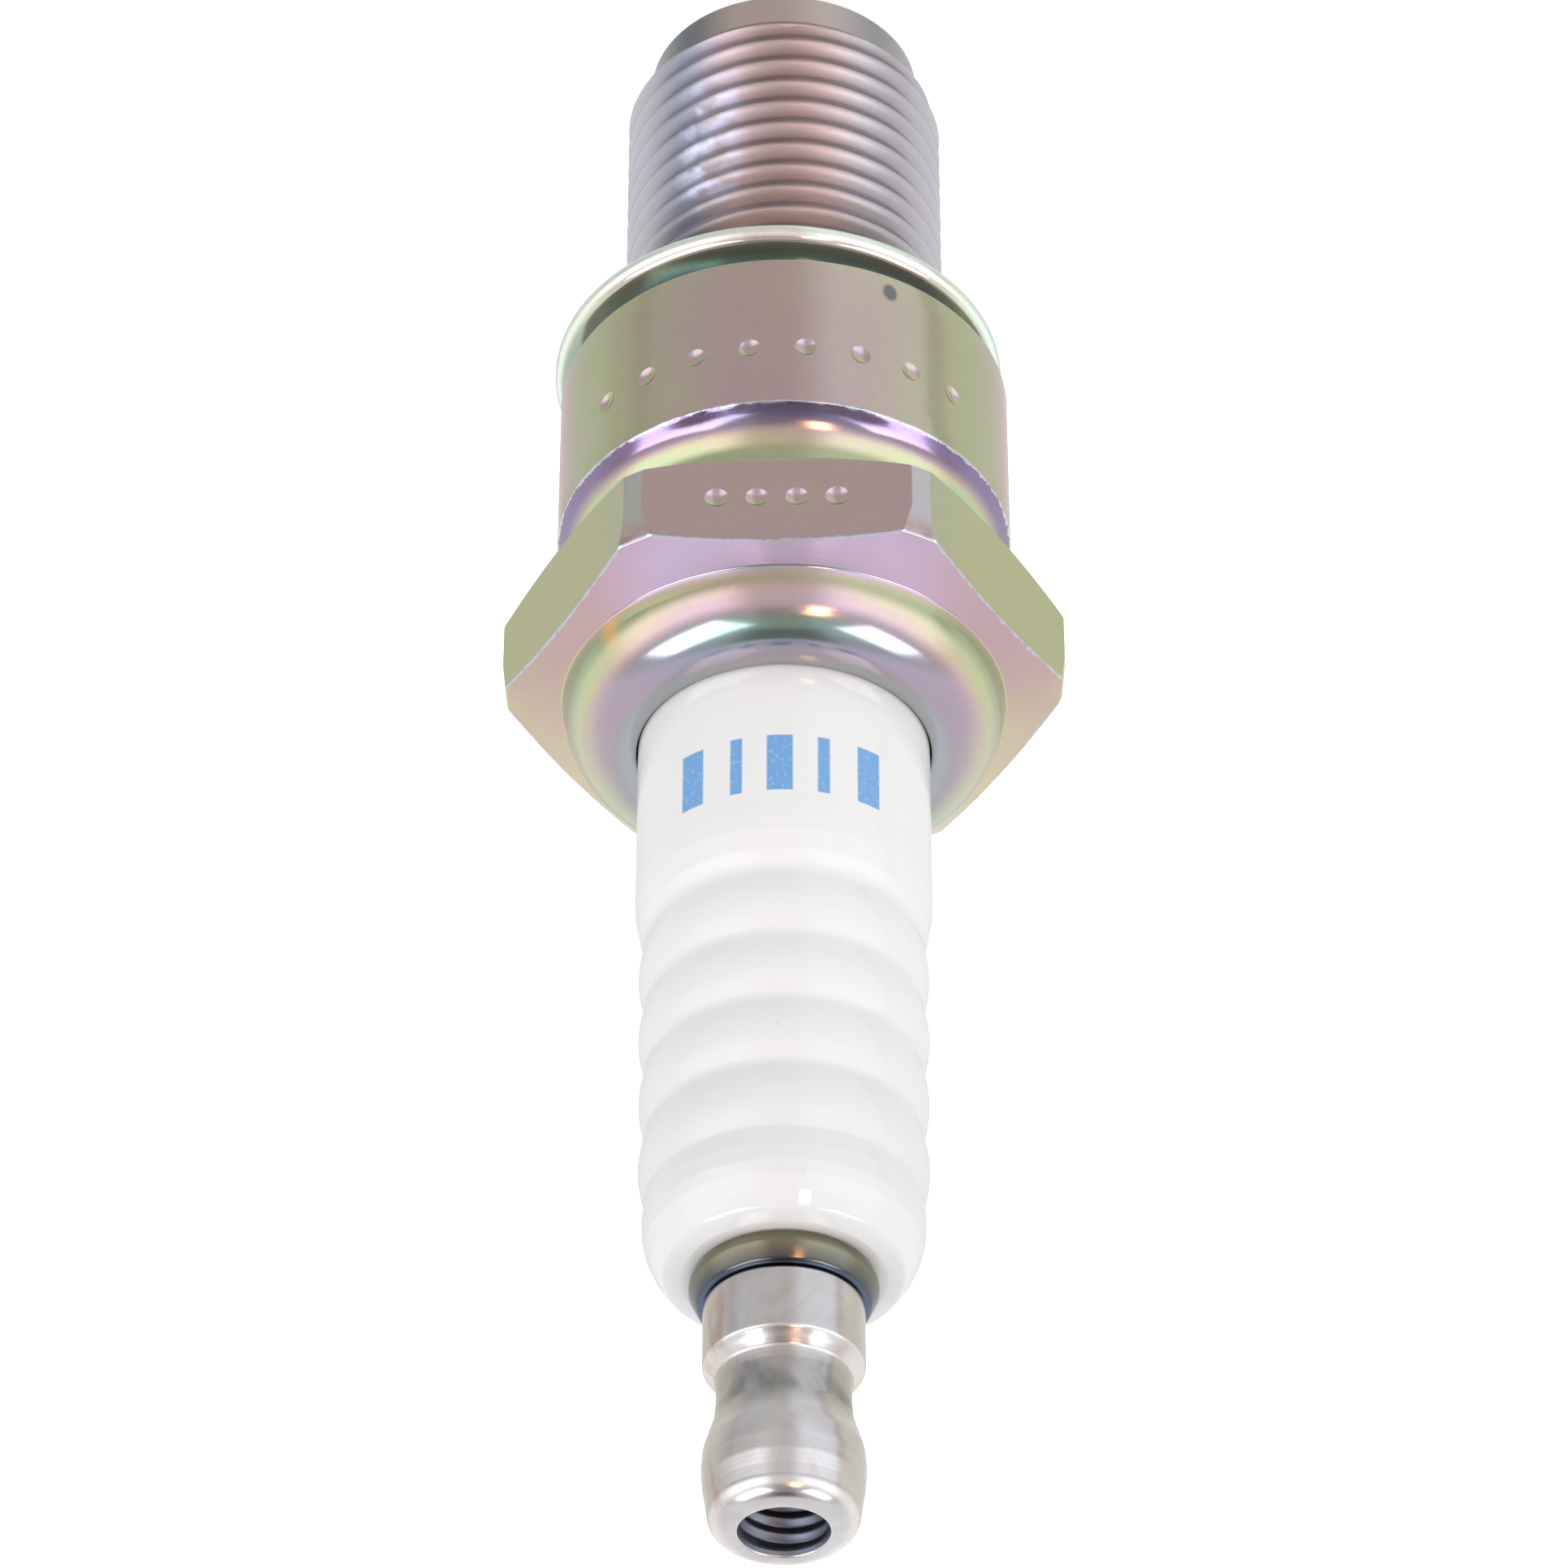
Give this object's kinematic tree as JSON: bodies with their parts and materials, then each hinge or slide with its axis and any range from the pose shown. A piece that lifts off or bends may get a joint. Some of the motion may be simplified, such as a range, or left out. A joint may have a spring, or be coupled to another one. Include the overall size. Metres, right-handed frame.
{
  "type": "spark plug",
  "caption": "Spark plug with a threaded, hexagon-bodied metal shell, ribbed ceramic insulator, loose seat gasket and screw-on terminal nut.",
  "frame": {"origin": "on the plug's axis, at the gasket face that meets the cylinder head", "axes": "+Z along the axis towards the terminal, two hexagon flats square to Y, the ground electrode's leg on the +Y side"},
  "size_m": [0.0236, 0.0208, 0.0791],
  "materials": {
    "plated_shell": "bright yellow chromate over zinc, with pink and green interference tints",
    "nickel_alloy": "satin",
    "plated_gasket": "bright chromate over zinc",
    "glazed_alumina": "clear glaze",
    "dark_plated_stud": "dark olive chromate",
    "bright_plated_nut": "bright nickel",
    "glass_seal": "dull",
    "resistor": "dull black",
    "copper": "plain copper",
    "talc": "pressed powder",
    "packing_wire": "plain"
  },
  "bodies": {
    "plug_body": {"metal_shell": "plated_shell", "ground_electrode": "nickel_alloy", "insulator": "glazed_alumina", "terminal_stud": "dark_plated_stud", "upper_glass_seal": "glass_seal", "resistor_element": "resistor", "lower_glass_seal": "glass_seal", "centre_electrode_jacket": "nickel_alloy", "centre_electrode_core": "copper", "lower_packing_washer": "copper", "talc_packing": "talc", "lower_packing_ring": "packing_wire", "upper_packing_ring": "packing_wire"},
    "loose_gasket": {"gasket": "plated_gasket"},
    "screw_terminal": {"terminal_nut": "bright_plated_nut"}
  },
  "joints": [
    {"name": "gasket_float", "type": "slide", "parent": "plug_body", "child": "loose_gasket", "axis": [0, 0, -1], "range_m": [0, 0.0004]},
    {"name": "terminal_nut_unscrew", "type": "slide", "parent": "plug_body", "child": "screw_terminal", "axis": [0, 0, 1], "range_m": [0, 0.011]}
  ]
}
